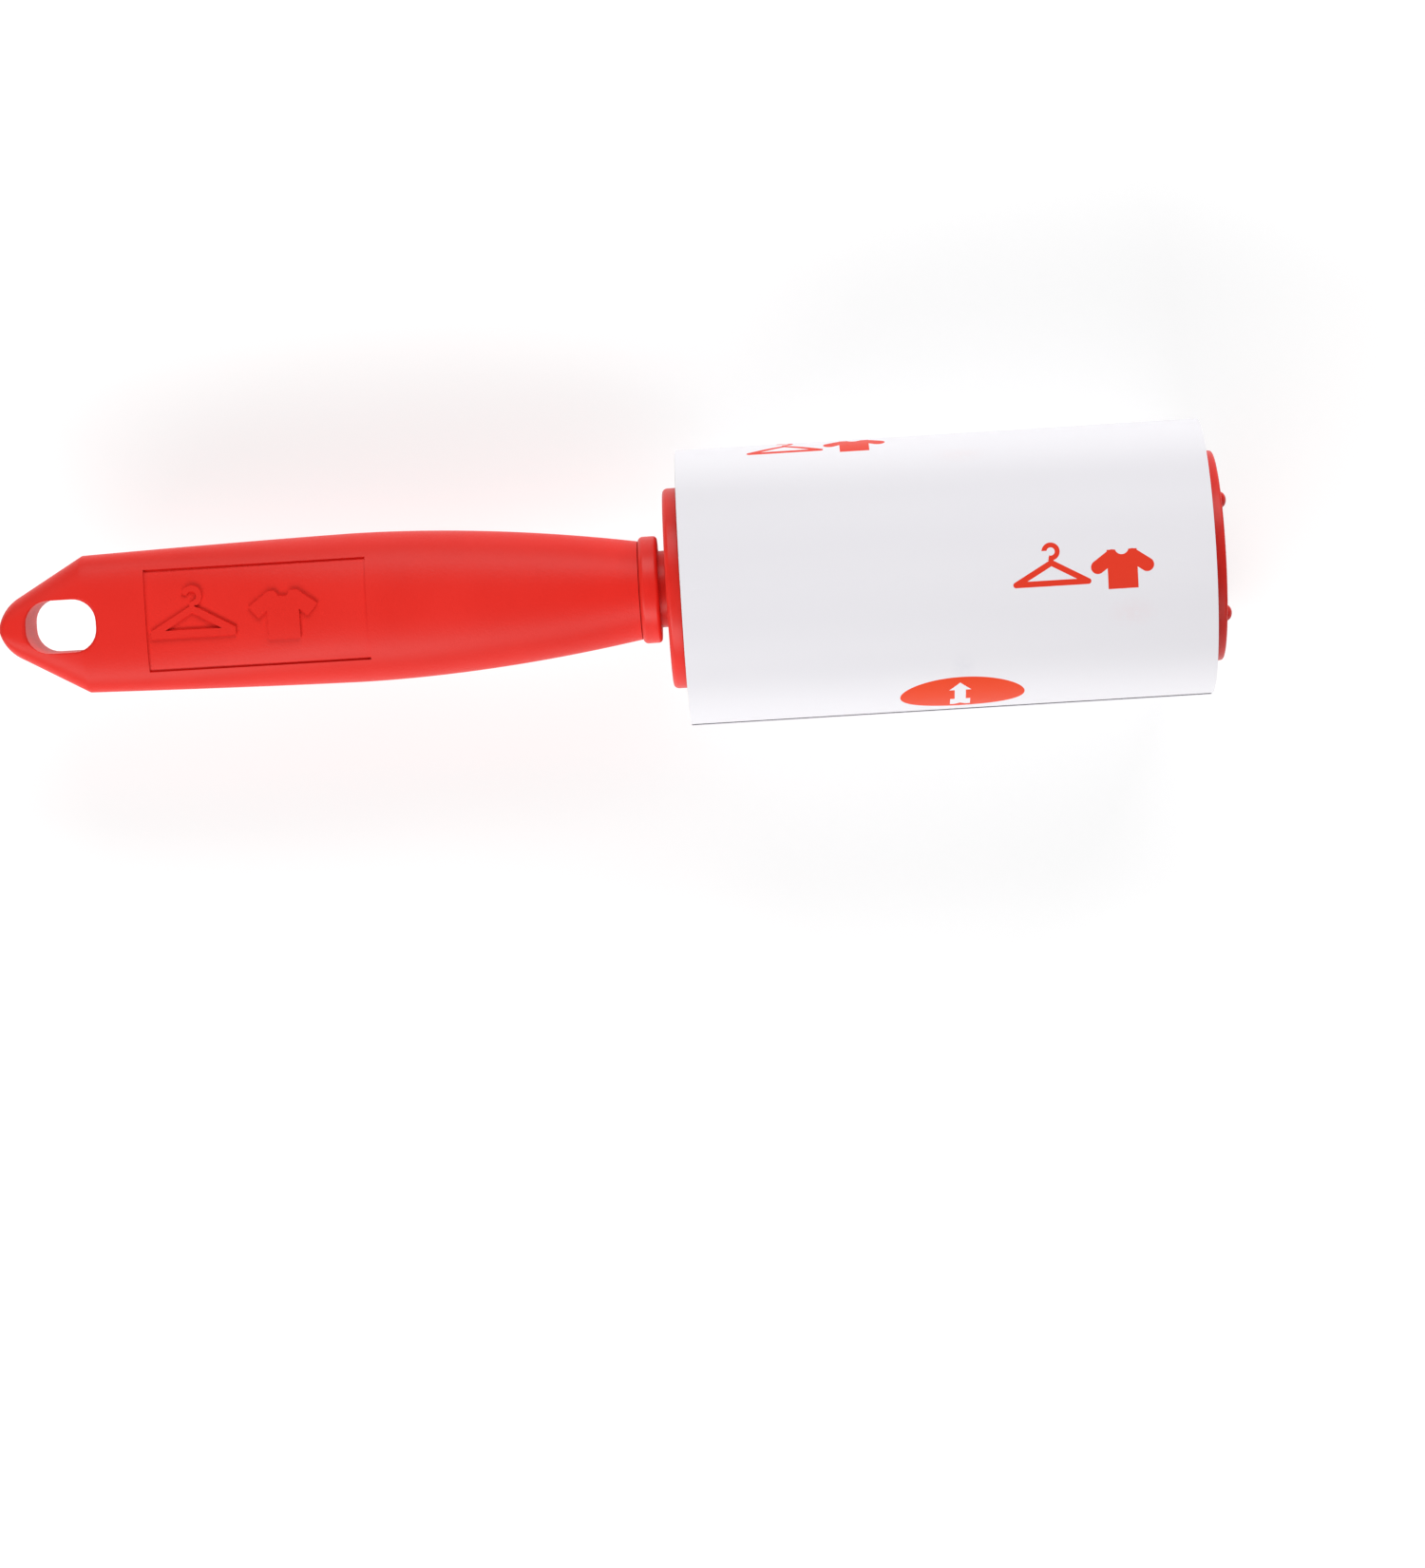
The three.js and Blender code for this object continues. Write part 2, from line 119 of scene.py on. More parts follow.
def add_studio():
    """Pale room with a long softbox on each side of the roller."""
    world = bpy.data.worlds.new("studio")
    world.use_nodes = True
    background = world.node_tree.nodes["Background"]
    background.inputs["Color"].default_value = ROOM_COLOUR
    background.inputs["Strength"].default_value = ROOM_STRENGTH
    bpy.context.scene.world = world
    add_softbox("upper_softbox", (0.12, 0.66, 0.48), (0.0, 0.0, 0.03), (0.9, 0.4), 5.8)
    add_softbox("lower_softbox", (-0.28, -0.62, 0.52), (-0.04, 0.0, 0.03), (1.0, 0.34), 7.2)
    view = bpy.context.scene.view_settings
    view.view_transform = "Standard"
    view.look = "None"


# ---------------------------------------------------------------- shader expressions

class Wire:
    """An output socket. Arithmetic on it adds Math nodes to its tree."""

    def __init__(self, tree, socket):
        self.tree = tree
        self.socket = socket

    def __add__(self, other):
        return maths(self.tree, "ADD", self, other)

    def __sub__(self, other):
        return maths(self.tree, "SUBTRACT", self, other)

    def __rsub__(self, other):
        return maths(self.tree, "SUBTRACT", other, self)

    def __mul__(self, other):
        return maths(self.tree, "MULTIPLY", self, other)

    def __truediv__(self, other):
        return maths(self.tree, "DIVIDE", self, other)

    def __rtruediv__(self, other):
        return maths(self.tree, "DIVIDE", other, self)

    def __neg__(self):
        return maths(self.tree, "MULTIPLY", self, -1.0)

    def __abs__(self):
        return maths(self.tree, "ABSOLUTE", self)

    __radd__ = __add__
    __rmul__ = __mul__


def maths(tree, operation, *values, clamp=False):
    node = tree.nodes.new("ShaderNodeMath")
    node.operation = operation
    node.use_clamp = clamp
    for socket, value in zip(node.inputs, values):
        connect(tree, socket, value)
    return Wire(tree, node.outputs[0])


def connect(tree, socket, value):
    if isinstance(value, Wire):
        tree.links.new(value.socket, socket)
    elif isinstance(value, tuple) and len(value) == 3 and len(socket.default_value) == 4:
        socket.default_value = (*value, 1.0)
    else:
        socket.default_value = value


def root(value):
    return maths(value.tree, "SQRT", value)


def least(first, second):
    return maths(first.tree, "MINIMUM", first, second)


def most(first, second):
    return maths(first.tree, "MAXIMUM", first, second)


def unit(value):
    """The value held between 0 and 1."""
    return maths(value.tree, "ADD", value, 0.0, clamp=True)


def wrapped(value, low, high):
    return maths(value.tree, "WRAP", value, high, low)


def inside(distance, softness=0.05):
    """1 where a signed distance in millimetres is negative, with a soft edge."""
    return unit(0.5 - distance / softness)


class Finish:
    """A material with one Principled shader. Its x, y and z give the point in millimetres, as for at()."""

    def __init__(self, name, **constants):
        self.material = bpy.data.materials.new(name)
        self.material.use_nodes = True
        self.tree = self.material.node_tree
        self.shader = self.tree.nodes["Principled BSDF"]
        for key, value in constants.items():
            self.feed(key, value)
        point = self.node("ShaderNodeTexCoord", output="Object")
        split = self.node("ShaderNodeSeparateXYZ", sockets={"Vector": point})
        x, y, z = (Wire(self.tree, socket) for socket in split.socket.node.outputs)
        self.x, self.y, self.z = (x - AXLE.x) / MM, y / MM, (z - AXLE.z) / MM

    def feed(self, socket, value):
        name = socket.replace("_", " ").title().replace("Ior", "IOR")
        connect(self.tree, self.shader.inputs[name], value)

    def node(self, kind, settings=None, sockets=None, output=0):
        """Adds a node, with its settings first and then the values or links of its sockets."""
        node = self.tree.nodes.new(kind)
        for name, value in (settings or {}).items():
            setattr(node, name, value)
        for name, value in (sockets or {}).items():
            connect(self.tree, node.inputs[name], value)
        return Wire(self.tree, node.outputs[output])

    def angle(self):
        """Angle about the axle in radians, from straight up towards +y."""
        return maths(self.tree, "ARCTAN2", self.y, self.z)

    def noise(self, scale, detail=2.0, roughness=0.5, stretch=(1.0, 1.0, 1.0)):
        """Noise between 0 and 1 whose features measure about 1 / scale millimetres."""
        x, y, z = (value * (scale * pull) for value, pull in zip((self.x, self.y, self.z), stretch))
        point = self.node("ShaderNodeCombineXYZ", sockets={"X": x, "Y": y, "Z": z})
        sockets = {"Scale": 1.0, "Detail": detail, "Roughness": roughness, "Vector": point}
        return self.node("ShaderNodeTexNoise", sockets=sockets, output="Fac")

    def mix(self, factor, first, second):
        """Mix of two colours, by the numbers of a Mix node's colour sockets, as their names repeat."""
        return self.node("ShaderNodeMix", {"data_type": "RGBA"}, {0: factor, 6: first, 7: second}, 2)

    def bump(self, height, depth):
        """Feeds the normal with a height between 0 and 1 that is depth millimetres deep."""
        sockets = {"Strength": 1.0, "Distance": depth * MM, "Height": height}
        self.feed("Normal", self.node("ShaderNodeBump", sockets=sockets))


RED = (0.78, 0.026, 0.017)
RED_DEEP = (0.72, 0.021, 0.013)


def grained_red():
    """Moulded grip plastic with a fine spark-eroded grain, rubbed smoother where it is held."""
    finish = Finish("grained_red_plastic", ior=1.45, specular_ior_level=0.24)
    clouds = finish.noise(0.06, detail=4.0)
    grain = finish.noise(3.6, detail=3.0, roughness=0.6)
    pits = finish.noise(1.5, detail=1.0)
    finish.feed("Base Color", finish.mix(unit(clouds * 1.6 - 0.3), RED_DEEP, RED))
    finish.feed("Roughness", 0.40 + 0.10 * clouds + 0.10 * (grain - 0.5))
    finish.bump(grain * 0.7 + pits * 0.3, 0.055)
    return finish.material


def smooth_red(name):
    """Smoother moulding of the stem, spool and cap, with faint flow marks and scuffs."""
    finish = Finish(name, ior=1.45, specular_ior_level=0.32)
    flow = finish.noise(0.25, detail=3.0, stretch=(3.0, 1.0, 1.0))
    scuffs = finish.noise(1.2, detail=4.0, roughness=0.7, stretch=(1.0, 0.2, 1.0))
    finish.feed("Base Color", finish.mix(unit(flow * 1.4 - 0.2), RED_DEEP, RED))
    finish.feed("Roughness", 0.34 + 0.12 * flow + 0.1 * unit(scuffs * 6.0 - 3.6))
    finish.bump(finish.noise(2.2, detail=2.0), 0.012)
    return finish.material


def zinc_steel():
    finish = Finish("zinc_plated_steel", metallic=1.0)
    blotches = finish.noise(0.6, detail=4.0)
    brushed = finish.noise(6.0, detail=2.0, stretch=(1.0, 0.05, 0.05))
    finish.feed("Base Color", finish.mix(blotches, (0.52, 0.53, 0.54), (0.70, 0.71, 0.71)))
    finish.feed("Roughness", 0.22 + 0.14 * blotches + 0.08 * brushed)
    finish.bump(brushed, 0.004)
    return finish.material


def white_acetal():
    finish = Finish("white_acetal", ior=1.48)
    clouds = finish.noise(0.5, detail=3.0)
    finish.feed("Base Color", finish.mix(clouds, (0.72, 0.70, 0.64), (0.80, 0.79, 0.75)))
    finish.feed("Roughness", 0.38 + 0.12 * clouds)
    finish.bump(finish.noise(3.0), 0.008)
    return finish.material


CORE_STRIP_PITCH = 62.0
CORE_STRIP_GAP = 0.35


def wound_board():
    """Spiral-wound cardboard: grey-brown fibres and the seam between the wound strips."""
    finish = Finish("wound_cardboard", ior=1.4)
    wound = finish.x - finish.angle() / math.tau * CORE_STRIP_PITCH
    seam = abs(wrapped(wound, 0.0, CORE_STRIP_PITCH) - CORE_STRIP_PITCH / 2)
    seam_mask = inside(seam - CORE_STRIP_GAP, 0.25)
    fibres = finish.noise(2.4, detail=5.0, roughness=0.65, stretch=(0.35, 1.0, 1.0))
    blotches = finish.noise(0.25, detail=3.0)
    board = finish.mix(fibres * 0.6 + blotches * 0.4, (0.30, 0.205, 0.125), (0.46, 0.345, 0.225))
    finish.feed("Base Color", finish.mix(seam_mask, board, (0.16, 0.10, 0.06)))
    finish.feed("Roughness", 0.82 + 0.12 * fibres)
    finish.bump(fibres * 0.5 - seam_mask, 0.06)
    return finish.material


PLY = 0.105  # thickness of one wound sheet, in millimetres


def wound_edges():
    """Cut ends of the wound sheets: thin plies with uneven gaps, on a white coated paper."""
    finish = Finish("wound_paper", ior=1.4)
    layer = root(finish.y * finish.y + finish.z * finish.z) / PLY + finish.angle() / math.tau
    ply = abs(wrapped(layer, 0.0, 1.0) - 0.5) * 2.0
    bunch = finish.noise(0.9, detail=3.0, stretch=(0.0, 1.0, 1.0))
    fibres = finish.noise(4.0, detail=3.0)
    edge = unit(ply * 1.5 - 0.4)
    paper = finish.mix(bunch, (0.76, 0.755, 0.74), (0.84, 0.835, 0.82))
    finish.feed("Base Color", finish.mix(edge * 0.3, paper, (0.60, 0.58, 0.55)))
    finish.feed("Roughness", 0.75 + 0.15 * fibres)
    finish.bump(edge * 0.5 + bunch * 0.3 + fibres * 0.2, 0.05)
    return finish.material


# ---------------------------------------------------------------- the printed sheet

# Degrees about the axle, from straight up towards +y
SHEET_FROM = -93.0
MARK_FROM = -38.0
MARK_TURN = 76.0

# Millimetres along the axle. Rows of marks take the two centres by turns, and each mark has its
# offset from its row's centre. The badge's arrow is offset from the badge's centre.
MARK_CENTRES = (74.2, 26.0)
HANGER_AT, SHIRT_AT = -5.0, 8.2
MARK_SIZE = 1.12
BADGE = {"at": 51.8, "turn": -61.3, "half": (11.8, 6.2), "arrow": -0.4}

# Print on the layers below: its place along and around, half sizes, strength and colour
GHOSTS = (
    (52.0, -42.0, 2.2, 3.6, 0.10, (0.45, 0.47, 0.56)),
    (84.0, -20.0, 4.5, 3.0, 0.07, (0.85, 0.35, 0.35)),
    (54.0, 58.0, 5.0, 2.6, 0.06, (0.85, 0.45, 0.40)),
)

SHEET_RADIUS = radius_of("top_sheet")
PER_DEGREE = SHEET_RADIUS * math.pi / 180.0


def length(u, v):
    return root(u * u + v * v)


def rectangle(u, v, half_u, half_v):
    return most(abs(u) - half_u, abs(v) - half_v)


def bar(u, v, start, end, half_width):
    """Signed distance to a straight stroke with round ends."""
    run, rise = end[0] - start[0], end[1] - start[1]
    along = unit(((u - start[0]) * run + (v - start[1]) * rise) / (run * run + rise * rise))
    return length(u - start[0] - along * run, v - start[1] - along * rise) - half_width


def hanger_mark(u, v):
    """A coat hanger: two shoulders, a bottom bar and an open hook."""
    side = abs(u)
    shoulder = bar(side, v, (0.0, 1.0), (6.0, -2.4), 0.5)
    bottom = bar(side, v, (0.0, -2.4), (6.0, -2.4), 0.5)
    hook = abs(length(u, v - 2.9) - 1.1) - 0.42
    open_side = rectangle(u + 1.2, v - 2.3, 0.9, 0.75)
    wire = least(least(shoulder, bottom), most(hook, -open_side))
    return least(wire, bar(u, v, (0.0, 1.0), (0.0, 1.8), 0.42))


def shirt_mark(u, v):
    """A short-sleeved shirt with a round neck."""
    body = rectangle(u, v + 0.7, 2.5, 3.3)
    sleeve = bar(abs(u), v, (1.7, 1.5), (4.1, -0.2), 1.15)
    neck = length(u, v - 2.9) - 1.15
    return most(least(body, sleeve), -neck)


def arrow_mark(u, v):
    """An arrow that points up: a head, a stem and a notched foot."""
    head = most(abs(u) * 1.15 + v * 0.95 - 4.45 * 0.95, 1.9 - v)
    stem = rectangle(u, v - 0.3, 1.05, 3.0)
    foot = most(rectangle(u, v + 3.4, 1.9, 1.5), -(v + 4.2 + abs(u) * 0.7))
    return least(least(head, stem), foot)


def sheet_marks(x, turn):
    """Mask of the hangers and shirts, in rows around the sheet that alternate along it."""
    row = maths(turn.tree, "FLOOR", (turn - MARK_FROM) / MARK_TURN)
    odd = abs(wrapped(row, 0.0, 2.0))
    u = x - (MARK_CENTRES[0] + odd * (MARK_CENTRES[1] - MARK_CENTRES[0]))
    v = (turn - row * MARK_TURN) * PER_DEGREE / MARK_SIZE
    hanger = hanger_mark((u - HANGER_AT) / MARK_SIZE, v)
    shirt = shirt_mark((u - SHIRT_AT) / MARK_SIZE, v)
    return inside(least(hanger, shirt)) * maths(turn.tree, "GREATER_THAN", turn, MARK_FROM)


def sheet_badge(x, turn):
    """Mask of the oval badge, without its arrow."""
    u, v = x - BADGE["at"], (turn - BADGE["turn"]) * PER_DEGREE
    half_u, half_v = BADGE["half"]
    oval = (length(u / half_u, v / half_v) - 1.0) * half_v
    return inside(oval) * (1.0 - inside(arrow_mark(u - BADGE["arrow"], v)))


def ghost(finish, turn, along, around, half_u, half_v):
    """Soft-edged blot of print on a layer below."""
    u, v = (finish.x - along) / half_u, (turn - around) * PER_DEGREE / half_v
    return unit(1.2 - length(u, v)) * unit(finish.noise(0.7, detail=2.0) * 3.0 - 0.6)


def printed_sheet():
    """Glossy white sheet, printed red and orange, with the layers below just showing through."""
    finish = Finish("printed_adhesive_sheet", ior=1.45, specular_ior_level=0.22)
    turn = wrapped(finish.angle() * (180.0 / math.pi), SHEET_FROM, SHEET_FROM + 360.0)
    streaks = finish.noise(0.05, detail=4.0, stretch=(0.25, 1.0, 1.0))
    clouds = finish.noise(0.35, detail=3.0)
    waves = finish.noise(0.06, detail=2.0, stretch=(0.5, 1.0, 1.0))
    paper = finish.mix(streaks, (0.775, 0.76, 0.80), (0.82, 0.805, 0.83))
    for along, around, half_u, half_v, strength, colour in GHOSTS:
        paper = finish.mix(ghost(finish, turn, along, around, half_u, half_v) * strength, paper, colour)
    printed = finish.mix(sheet_marks(finish.x, turn), paper, (0.76, 0.045, 0.020))
    finish.feed("Base Color", finish.mix(sheet_badge(finish.x, turn), printed, (0.80, 0.052, 0.006)))
    finish.feed("Roughness", 0.34 + 0.10 * clouds + 0.06 * streaks)
    finish.bump(waves * 0.6 + clouds * 0.25 + finish.noise(2.5, detail=2.0) * 0.15, 0.05)
    return finish.material


# ---------------------------------------------------------------- mesh making

def body_of(name, points, faces):
    """A closed mesh object from points in millimetres, with its faces turned outwards."""
    mesh = bpy.data.meshes.new(name)
    mesh.from_pydata([at(*point) for point in points], [], faces)
    turner = bmesh.new()
    turner.from_mesh(mesh)
    bmesh.ops.recalc_face_normals(turner, faces=turner.faces)
    turner.to_mesh(mesh)
    turner.free()
    piece = bpy.data.objects.new(name, mesh)
    bpy.context.collection.objects.link(piece)
    return piece


def filleted(corners, steps=4):
    """Outline through (along, radius, fillet) corners, each rounded by its own fillet."""
    outline = []
    for index, (along, radius, fillet) in enumerate(corners):
        corner = Vector((along, radius))
        if fillet == 0.0:
            outline.append(tuple(corner))
            continue
        before = (Vector(corners[index - 1][:2]) - corner).normalized()
        after = (Vector(corners[(index + 1) % len(corners)][:2]) - corner).normalized()
        half = before.angle(after) / 2
        middle = corner + (before + after).normalized() * (fillet / math.sin(half))
        first = corner + before * (fillet / math.tan(half)) - middle
        last = corner + after * (fillet / math.tan(half)) - middle
        for step in range(steps + 1):
            outline.append(tuple(middle + first.slerp(last, step / steps) * fillet))
    return outline


def lengthwise(along, side, up):
    return along, side, up


def standing(x):
    """Stands a turned body upright over x."""
    return lambda along, side, up: (x + side, up, along)


def turned(name, outline, sides=96, place=lengthwise):
    """Closed body turned from (along, radius) points. Radius 0 at both ends closes it on its axis."""
    solid = outline[0][1] == 0.0
    points, rings, faces = [], [], []
    for along, radius in outline:
        count = sides if radius > 0.0 else 1
        rings.append([len(points) + side for side in range(count)])
        for side in range(count):
            angle = side / sides * math.tau
            points.append(place(along, radius * math.sin(angle), radius * math.cos(angle)))
    pairs = zip(rings, rings[1:] if solid else rings[1:] + rings[:1])
    for here, there in pairs:
        for side in range(sides):
            ahead = (side + 1) % sides
            quad = [here[side % len(here)], here[ahead % len(here)],
                    there[ahead % len(there)], there[side % len(there)]]
            faces.append(list(dict.fromkeys(quad)))
    return body_of(name, points, faces)


def lofted(name, rings):
    """Closed body through rings of equally many points, with its first and last ring filled."""
    count = len(rings[0])
    points = [point for ring in rings for point in ring]
    faces = []
    for here in range(0, len(points) - count, count):
        there = here + count
        for index in range(count):
            ahead = (index + 1) % count
            faces.append([here + index, here + ahead, there + ahead, there + index])
    faces.append(list(range(count)))
    faces.append(list(range(len(points) - count, len(points))))
    return body_of(name, points, faces)


def prism(name, outline, low, high):
    """Upright prism over an (x, y) outline."""
    return lofted(name, [[(x, y, z) for x, y in outline] for z in (low, high)])


def settle(piece):
    """Applies the modifiers to the piece's own mesh."""
    bpy.context.view_layer.update()
    shaped = bpy.data.meshes.new_from_object(piece.evaluated_get(bpy.context.evaluated_depsgraph_get()))
    piece.modifiers.clear()
    piece.data = shaped


def carve(piece, cutters, operation="DIFFERENCE"):
    """Cuts each cutter out of the piece, or joins it on, and removes the cutter."""
    for cutter in cutters:
        cut = piece.modifiers.new("carve", "BOOLEAN")
        cut.operation = operation
        cut.object = cutter
        cut.solver = "EXACT"
        settle(piece)
        bpy.data.objects.remove(cutter)
    return piece


def rolled(piece, angle):
    """Turns a piece about the axle."""
    about = Matrix.Translation(AXLE) @ Matrix.Rotation(angle, 4, "X") @ Matrix.Translation(-AXLE)
    piece.data.transform(about)
    return piece


SHARP_EDGE = math.radians(34.0)


def keep(piece, body, node, material):
    """Gives a finished piece its material, its smooth shading and its place in the assembly."""
    piece.data.materials.clear()
    piece.data.materials.append(material)
    piece.data.polygons.foreach_set("use_smooth", [True] * len(piece.data.polygons))
    piece.data.set_sharp_from_angle(angle=SHARP_EDGE)
    weighted = piece.modifiers.new("even_shading", "WEIGHTED_NORMAL")
    weighted.keep_sharp = True
    weighted.weight = 60
    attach(piece, body)
    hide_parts(node)


def smoothstep(value, low, high):
    share = min(max((value - low) / (high - low), 0.0), 1.0)
    return share * share * (3.0 - 2.0 * share)


def evenly(start, end, steps):
    return [start + (end - start) * step / steps for step in range(steps + 1)]


# ---------------------------------------------------------------- the grip

GRIP_TIP = -130.9
GRIP_FRONT = -8.3
GRIP_WIDEST = -62.0
GRIP_HALF_WIDTH = 14.3
SHOULDER_AT, SHOULDER_HALF_WIDTH = -115.0, 13.15
GRIP_NARROWING = 4.85
GRIP_HALF_THICKNESS = 11.0
GRIP_FRONT_HALF_THICKNESS = 9.45
GRIP_WALL = 2.2
TAB_HALF_THICKNESS = 7.5
TAB_END = -108.0
PALM_START, PALM_END = -60.0, -45.0
NOSE_RADIUS = 6.7
NOSE_ROUND = 1.6
CHAMFER = math.pi / 6
SEAM_GAP = 0.05
SEAM_ROUND = 0.3
CAVITY = (-106.0, -12.0)
TANG_SOCKET = (-30.0, 5.5)
HOLE = {"at": -118.95, "length": 13.4, "width": 10.1, "corner": 4.4, "mouth": 0.7}
MOUTH_SWEEP = math.radians(84.0)
PANEL = {"start": -102.6, "length": 42.6, "width": 19.6, "depth": 0.5}
SCREWS_AT = {"rear": -88.0, "front": -54.0}
SCREW_SEAT = -2.8
POST_RADIUS, PILOT_RADIUS, SHANK_HOLE_RADIUS, WELL_RADIUS = 4.2, 1.5, 1.7, 3.0
WELL_FOOT = -14.0
PILOT_TOP = 4.3
PAST = 4.0  # how far a cutter stands past the skin that it opens


def nose_half_width(x):
    return math.sqrt(max(NOSE_RADIUS ** 2 - (x - GRIP_TIP - NOSE_RADIUS) ** 2, 0.0))


def chamfer_half_width(x):
    centre = GRIP_TIP + NOSE_RADIUS
    return NOSE_RADIUS / math.cos(CHAMFER) + (x - centre) * math.tan(CHAMFER)


def palm_half_width(x):
    if x < GRIP_WIDEST:
        back = (GRIP_WIDEST - x) / (GRIP_WIDEST - SHOULDER_AT)
        return GRIP_HALF_WIDTH - (GRIP_HALF_WIDTH - SHOULDER_HALF_WIDTH) * back ** 1.3
    ahead = (x - GRIP_WIDEST) / (GRIP_FRONT - GRIP_WIDEST)
    return GRIP_HALF_WIDTH - GRIP_NARROWING * ahead ** 1.9


def half_width(x):
    if x < GRIP_TIP + NOSE_RADIUS * (1.0 - math.sin(CHAMFER)):
        return nose_half_width(x)
    return min(chamfer_half_width(x), palm_half_width(x))


def half_thickness(x):
    rise = smoothstep(x, TAB_END, PALM_START)
    fall = smoothstep(x, PALM_END, GRIP_FRONT)
    body = TAB_HALF_THICKNESS + (GRIP_HALF_THICKNESS - TAB_HALF_THICKNESS) * rise
    body -= (GRIP_HALF_THICKNESS - GRIP_FRONT_HALF_THICKNESS) * fall
    nose = min(max((x - GRIP_TIP) / NOSE_ROUND, 0.0), 1.0)
    return body - NOSE_ROUND * (1.0 - math.sqrt(1.0 - (1.0 - nose) ** 2))


def squareness(x):
    """Power of the section's outline: 2 is an ellipse, and more is squarer."""
    return 3.0 - 0.8 * smoothstep(x, TAB_END, PALM_START) - 0.2 * smoothstep(x, PALM_START, GRIP_FRONT)


def skin_height(x, y, inset=0.0):
    """Height of the grip's skin over a point of its seam plane."""
    share = min(abs(y) / max(half_width(x) - inset, 0.8), 1.0)
    power = squareness(x)
    return (half_thickness(x) - inset) * (1.0 - share ** power) ** (1.0 / power)


def skin_arc(x, inset, foot, steps):
    """Half outline from +y over the top to -y, standing on the height foot."""
    width = max(half_width(x) - inset, 0.8)
    thickness = max(half_thickness(x) - inset, foot + 0.05)
    power = squareness(x)
    start = math.asin(min((foot / thickness) ** (power / 2.0), 0.9))
    arc = []
    for step in range(steps + 1):
        angle = start + (math.pi - 2.0 * start) * step / steps
        side = math.copysign(abs(math.cos(angle)) ** (2.0 / power), math.cos(angle))
        arc.append((x, width * side, thickness * math.sin(angle) ** (2.0 / power)))
    return arc


def grip_ring(x, hollow):
    """Section of the upper half: skin, rounded seam edges, and its cavity or flat seam face."""
    foot = SEAM_GAP / 2 + SEAM_ROUND
    skin = skin_arc(x, 0.0, foot, 60)
    edge = []
    for step in range(4):
        angle = step / 4 * math.pi / 2
        inward = SEAM_ROUND * (1.0 - math.sin(angle))
        edge.append((inward, SEAM_GAP / 2 + SEAM_ROUND * (1.0 - math.cos(angle))))
    right, left = skin[0][1], skin[-1][1]
    ring = [(x, right - inward, height) for inward, height in edge]
    ring += skin
    ring += [(x, left + inward, height) for inward, height in reversed(edge)]
    if hollow:
        return ring + list(reversed(skin_arc(x, GRIP_WALL, SEAM_GAP / 2, 32)))
    flat = evenly(left + SEAM_ROUND * 1.6, right - SEAM_ROUND * 1.6, 32)
    return ring + [(x, y, SEAM_GAP / 2) for y in flat]


def grip_stations():
    nose = [GRIP_TIP + depth for depth in (0.05, 0.15, 0.3, 0.5, 0.8, 1.2, 1.6, 2.1, 2.7, 3.35)]
    tab = evenly(nose[-1] + 0.6, SHOULDER_AT - 0.25, 10)
    palm = evenly(SHOULDER_AT + 0.25, GRIP_FRONT, 84)
    return nose + tab + palm


def grip_half(name, side):
    """One half shell. side is 1 for the upper half and -1 for the lower."""
    rings = []
    for x in grip_stations():
        ring = grip_ring(x, CAVITY[0] < x < CAVITY[1])
        rings.append([(along, y, side * z) for along, y, z in ring])
    half = lofted(name, rings)
    return carve(half, [tang_socket(), hole_cutter()])


def tang_socket():
    """Bore at the front of the grip that the stem's tang slides into."""
    start, radius = TANG_SOCKET
    return turned("tang_socket", [(start, 0.0), (start, radius), (0.0, radius), (0.0, 0.0)], 48)


def rounded_slot(length, width, corner, steps=8):
    outline = []
    for quarter, (x, y) in enumerate(((1, 1), (-1, 1), (-1, -1), (1, -1))):
        for step in range(steps + 1):
            angle = (quarter + step / steps) * math.pi / 2
            outline.append((x * (length / 2 - corner) + corner * math.cos(angle),
                            y * (width / 2 - corner) + corner * math.sin(angle)))
    return outline


def hole_cutter():
    """Hanging hole with rounded mouths on both faces of the tab."""
    mouth = HOLE["mouth"]
    face = TAB_HALF_THICKNESS - 0.1
    levels = [(0.0, 0.0)]
    for step in range(1, 9):
        angle = step / 8 * MOUTH_SWEEP
        levels.append((face - mouth + mouth * math.sin(angle), mouth * (1.0 - math.cos(angle))))
    levels.append((face + PAST, levels[-1][1] + 0.6))
    both = [(-z, grown) for z, grown in reversed(levels[1:])] + levels
    rings = []
    for z, grown in both:
        outline = rounded_slot(HOLE["length"] + 2 * grown, HOLE["width"] + 2 * grown, HOLE["corner"] + grown)
        rings.append([(HOLE["at"] + x, y, z) for x, y in outline])
    return lofted("hole_cutter", rings)


def panel_cutter():
    """Slab over the sunk panel, whose underside follows the skin."""
    across = evenly(-PANEL["width"] / 2, PANEL["width"] / 2, 28)
    rings = []
    for x in evenly(PANEL["start"], PANEL["start"] + PANEL["length"], 48):
        low = [(x, y, skin_height(x, y, PANEL["depth"])) for y in across]
        high = [(x, y, GRIP_HALF_THICKNESS + PAST) for y in reversed(across)]
        rings.append(low + high)
    return lofted("panel_cutter", rings)


RELIEF_AT = (-84.0, 0.4)
RELIEF_SCALE = 1.28
RELIEF_HANGER_AT, RELIEF_SHIRT_AT = -9.5, 8.0


def stroke(points, half_width):
    """Outline of a bent stroke through (x, y) points."""
    left, right = [], []
    for index, point in enumerate(points):
        ahead = Vector(points[min(index + 1, len(points) - 1)])
        behind = Vector(points[max(index - 1, 0)])
        along = (ahead - behind).normalized()
        across = Vector((-along.y, along.x)) * half_width
        left.append(tuple(Vector(point) + across))
        right.append(tuple(Vector(point) - across))
    return left + right[::-1]


